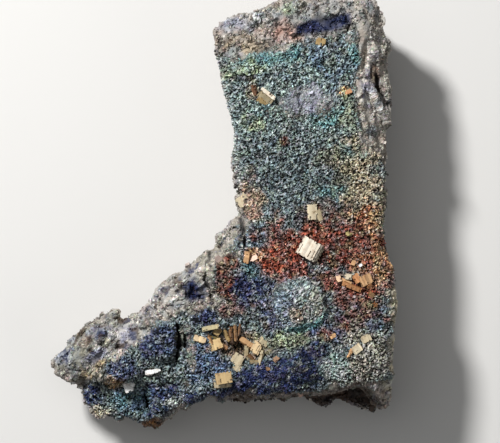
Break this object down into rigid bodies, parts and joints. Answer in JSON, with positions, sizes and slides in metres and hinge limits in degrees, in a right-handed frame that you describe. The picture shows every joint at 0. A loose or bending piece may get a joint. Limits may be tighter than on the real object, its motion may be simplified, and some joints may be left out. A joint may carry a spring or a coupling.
{
  "type": "bassetite mineral specimen",
  "caption": "Boot-shaped piece of rock that lies on its back, with a dark druse of small crystals on its upward face and thin golden bassetite plates standing on the druse.",
  "frame": {"origin": "under the middle of the specimen's bounding box, on the surface that it rests on", "axes": "+Z out of the crystal face, +Y up the boot's leg, -X towards the boot's toe"},
  "size_m": [0.0348, 0.0436, 0.0141],
  "materials": {
    "rock": "rough, with glinting dark crystals",
    "bassetite_cream": "pearly",
    "bassetite_gold": "vitreous",
    "bassetite_amber": "vitreous",
    "bassetite_tan": "vitreous"
  },
  "bodies": {
    "root": {"matrix_rock": "rock", "bassetite_square_book": "bassetite_cream", "bassetite_twin_plate": "bassetite_cream", "bassetite_ankle_plate": "bassetite_cream", "bassetite_upper_book": "bassetite_gold", "bassetite_upper_leaf": "bassetite_tan", "bassetite_top_plate": "bassetite_gold", "bassetite_amber_grain": "bassetite_amber", "bassetite_amber_rosette": "bassetite_amber", "bassetite_heel_plate_high": "bassetite_cream", "bassetite_heel_plate_low": "bassetite_gold", "bassetite_hollow_edge_plate": "bassetite_cream", "bassetite_indigo_plate_high": "bassetite_tan", "bassetite_indigo_plate_low": "bassetite_tan", "bassetite_sole_plate_high": "bassetite_cream", "bassetite_sole_plate_low": "bassetite_gold", "bassetite_golden_sheaf_left": "bassetite_gold", "bassetite_amber_fan": "bassetite_amber", "bassetite_toe_side_leaf": "bassetite_gold", "bassetite_upright_sheaf": "bassetite_tan", "bassetite_golden_sheaf_right": "bassetite_gold", "bassetite_pale_sheaf": "bassetite_cream", "bassetite_ankle_amber_leaf": "bassetite_amber"}
  },
  "joints": []
}
